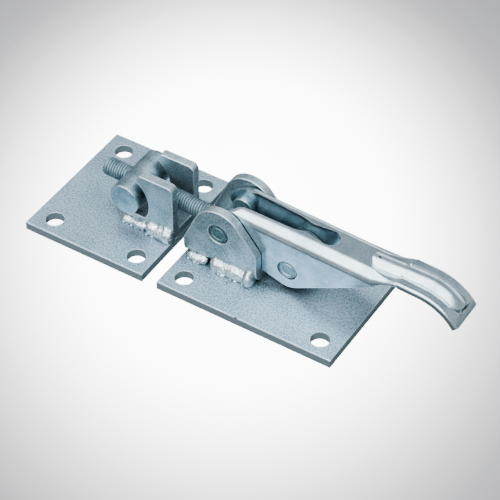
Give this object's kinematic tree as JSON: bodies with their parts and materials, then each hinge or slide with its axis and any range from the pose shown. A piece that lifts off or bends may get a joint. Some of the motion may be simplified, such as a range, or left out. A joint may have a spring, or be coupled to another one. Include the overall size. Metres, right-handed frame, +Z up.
{
  "type": "adjustable draw latch",
  "caption": "Adjustable draw latch on two bolt-down plates: a pressed lever pulls a threaded rod whose cross bar drops into a hooked keeper.",
  "frame": {"origin": "middle of the latch plate's four bolt holes, on the plate's underside", "axes": "+X from the keeper towards the grip, +Z up off the mounting face, Y across the latch"},
  "size_m": [0.2835, 0.1, 0.053],
  "materials": {
    "plate_steel": "bright zinc plating over rolled plate, finely mottled",
    "bracket_steel": "bright zinc plating over folded sheet",
    "lever_steel": "bright zinc plating over smooth pressed sheet",
    "pin_steel": "zinc plating over turned steel",
    "rod_steel": "zinc plating over rolled thread",
    "bar_steel": "zinc plating over drawn round bar",
    "weld_steel": "shiny rippled weld bead under zinc plating"
  },
  "bodies": {
    "base": {"keeper_plate": "plate_steel", "latch_plate": "plate_steel", "keeper_bracket": "bracket_steel", "latch_bracket": "bracket_steel", "pivot_stub_near": "pin_steel", "pivot_stub_far": "pin_steel", "latch_weld_short_near": "weld_steel", "latch_weld_short_far": "weld_steel", "latch_weld_long_near": "weld_steel", "latch_weld_long_far": "weld_steel", "keeper_weld_near": "weld_steel", "keeper_weld_far": "weld_steel", "keeper_tack_near": "weld_steel", "keeper_tack_far": "weld_steel"},
    "lever": {"lever_handle": "lever_steel", "link_pin": "pin_steel"},
    "rod": {"eye_rod": "rod_steel"},
    "bar": {"cross_bar": "bar_steel"}
  },
  "joints": [
    {"name": "lever_pivot", "type": "hinge", "parent": "base", "child": "lever", "pos_m": [-0.03495, 0, 0.0348], "axis": [0, -1, 0], "range_deg": [0, 90]},
    {"name": "rod_swing", "type": "hinge", "parent": "lever", "child": "rod", "pos_m": [0.01034, 0, 0.02327], "axis": [0, -1, 0], "range_deg": [-60, 0]},
    {"name": "bar_adjust", "type": "slide", "parent": "rod", "child": "bar", "axis": [-0.9988, 0, 0.0489], "range_m": [-0.0025, 0.008]}
  ],
  "couplings": [
    {"joint": "rod_swing", "follows": "lever_pivot", "ratio": -0.65}
  ]
}
